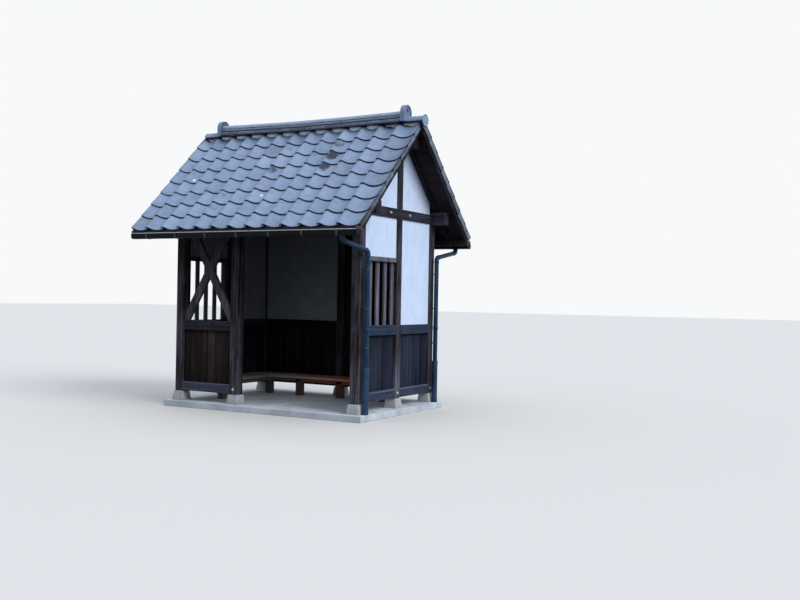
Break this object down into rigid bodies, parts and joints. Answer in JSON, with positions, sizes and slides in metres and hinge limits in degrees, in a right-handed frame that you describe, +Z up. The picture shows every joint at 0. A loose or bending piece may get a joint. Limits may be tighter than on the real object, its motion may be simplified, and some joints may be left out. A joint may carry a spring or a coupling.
{
  "type": "bus shelter",
  "caption": "Timber post-and-beam bus shelter with a pantiled gable roof, plaster and board walls, slatted gable windows, an X-braced front bay, a wide entrance and an L-shaped bench.",
  "frame": {"origin": "on the ground under the middle of the plan", "axes": "+X to the right of the entrance seen from outside, +Y towards the back wall, +Z up"},
  "size_m": [3.566, 3.0956, 3.9473],
  "materials": {
    "timber": "dark stained, weathered",
    "wall_boards": "dark stained, weathered boards",
    "roof_boards": "dark stained boards",
    "bench_wood": "stained planks, worn",
    "plaster": "smooth lime plaster",
    "floor_concrete": "trowelled concrete",
    "footing_concrete": "cast concrete",
    "roof_tile": "smoked clay, satin",
    "gutter": "black plastic",
    "downpipe": "dark blue-grey plastic"
  },
  "bodies": {
    "root": {"floor_slab": "floor_concrete", "footings": "footing_concrete", "post_front_left": "timber", "post_front_middle": "timber", "post_front_right": "timber", "post_gable_left": "timber", "post_gable_right": "timber", "post_back_left": "timber", "post_back_middle": "timber", "post_back_right": "timber", "sill_front": "timber", "sill_left": "timber", "sill_right": "timber", "sill_back": "timber", "rail_front": "timber", "rail_left": "timber", "rail_right": "timber", "rail_back": "timber", "window_left": "timber", "window_right": "timber", "cross_brace": "timber", "tie_beam_left": "timber", "tie_beam_right": "timber", "wall_plate_front": "timber", "wall_plate_back": "timber", "king_posts": "timber", "ridge_beam": "timber", "rafters_front": "timber", "rafters_back": "timber", "roof_boards_front": "roof_boards", "roof_boards_back": "roof_boards", "plaster_left": "plaster", "plaster_right": "plaster", "plaster_back": "plaster", "boards_front": "wall_boards", "boards_left": "wall_boards", "boards_right": "wall_boards", "boards_back": "wall_boards", "bench": "bench_wood", "roof_tiles_front": "roof_tile", "roof_tiles_back": "roof_tile", "ridge_tiles": "roof_tile", "ridge_end_tiles": "roof_tile", "gutters": "gutter", "downpipes": "downpipe"}
  },
  "joints": []
}
